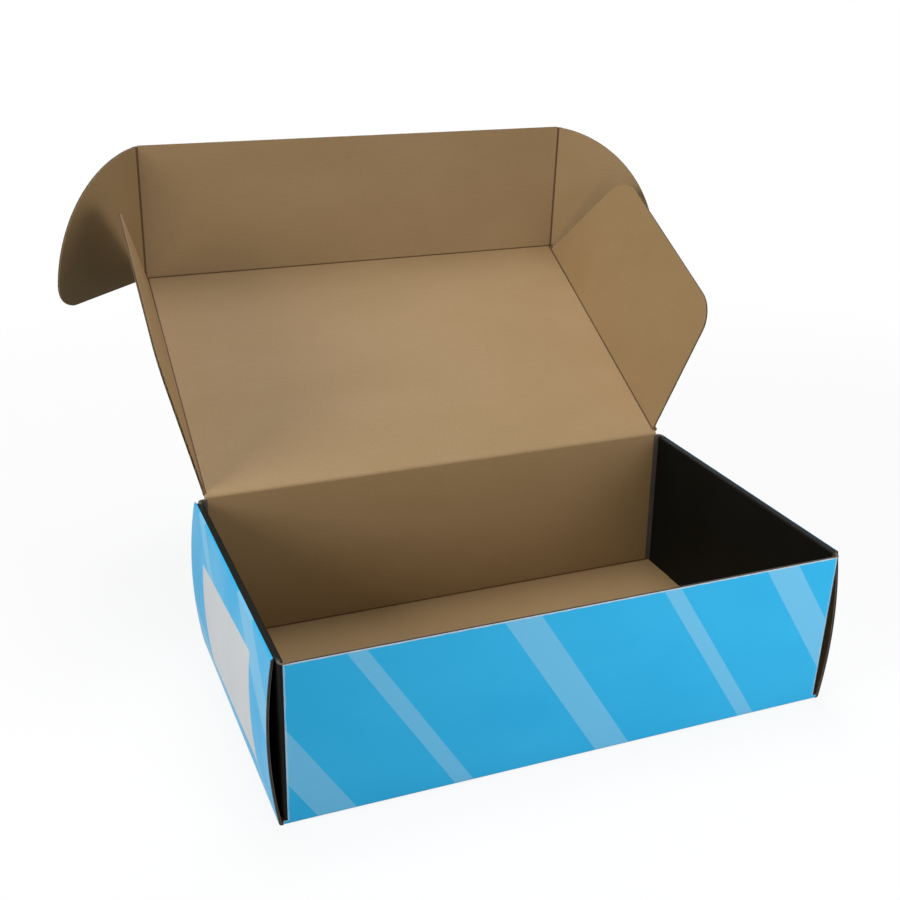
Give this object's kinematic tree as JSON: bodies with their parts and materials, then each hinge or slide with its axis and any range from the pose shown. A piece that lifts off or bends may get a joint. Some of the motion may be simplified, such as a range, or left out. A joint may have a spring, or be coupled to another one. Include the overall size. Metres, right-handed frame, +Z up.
{
  "type": "folding mailer box",
  "caption": "Open corrugated mailer box with rolled double side walls and a hinged lid that carries side flaps and a tuck flap with ears; holds goods for shipping.",
  "frame": {"origin": "centre of the tray's underside", "axes": "+X along the front wall to the right, +Y from the front to the hinged back wall, +Z up"},
  "size_m": [0.4499, 0.3853, 0.2937],
  "materials": {
    "printed_board": "matte",
    "kraft_board": "matte"
  },
  "bodies": {
    "tray": {"tray": "printed_board"},
    "lid": {"lid": "kraft_board"},
    "tuck_flap": {"tuck_flap": "kraft_board"},
    "left_ear": {"left_ear": "kraft_board"},
    "right_ear": {"right_ear": "kraft_board"},
    "left_side_flap": {"left_side_flap": "kraft_board"},
    "right_side_flap": {"right_side_flap": "kraft_board"}
  },
  "joints": [
    {"name": "lid_hinge", "type": "hinge", "parent": "tray", "child": "lid", "pos_m": [0, 0.09825, 0.102], "axis": [-1, 0, 0], "range_deg": [-152, 28]},
    {"name": "left_side_flap_fold", "type": "hinge", "parent": "lid", "child": "left_side_flap", "pos_m": [-0.161, 0.09825, 0.102], "axis": [0, -0.8829, -0.4695], "range_deg": [-38, 8]},
    {"name": "right_side_flap_fold", "type": "hinge", "parent": "lid", "child": "right_side_flap", "pos_m": [0.161, 0.09825, 0.102], "axis": [0, 0.8829, 0.4695], "range_deg": [-38, 8]},
    {"name": "tuck_fold", "type": "hinge", "parent": "lid", "child": "tuck_flap", "pos_m": [0, 0.2804, 0.19885], "axis": [-1, 0, 0], "range_deg": [-8, 66]},
    {"name": "left_ear_fold", "type": "hinge", "parent": "tuck_flap", "child": "left_ear", "pos_m": [-0.162, 0.2804, 0.19885], "axis": [0, 0.0698, -0.9976], "range_deg": [-5, 40]},
    {"name": "right_ear_fold", "type": "hinge", "parent": "tuck_flap", "child": "right_ear", "pos_m": [0.162, 0.2804, 0.19885], "axis": [0, -0.0698, 0.9976], "range_deg": [-2, 43]}
  ],
  "couplings": [
    {"joint": "left_side_flap_fold", "follows": "lid_hinge", "ratio": 0.25},
    {"joint": "right_side_flap_fold", "follows": "lid_hinge", "ratio": 0.25}
  ]
}
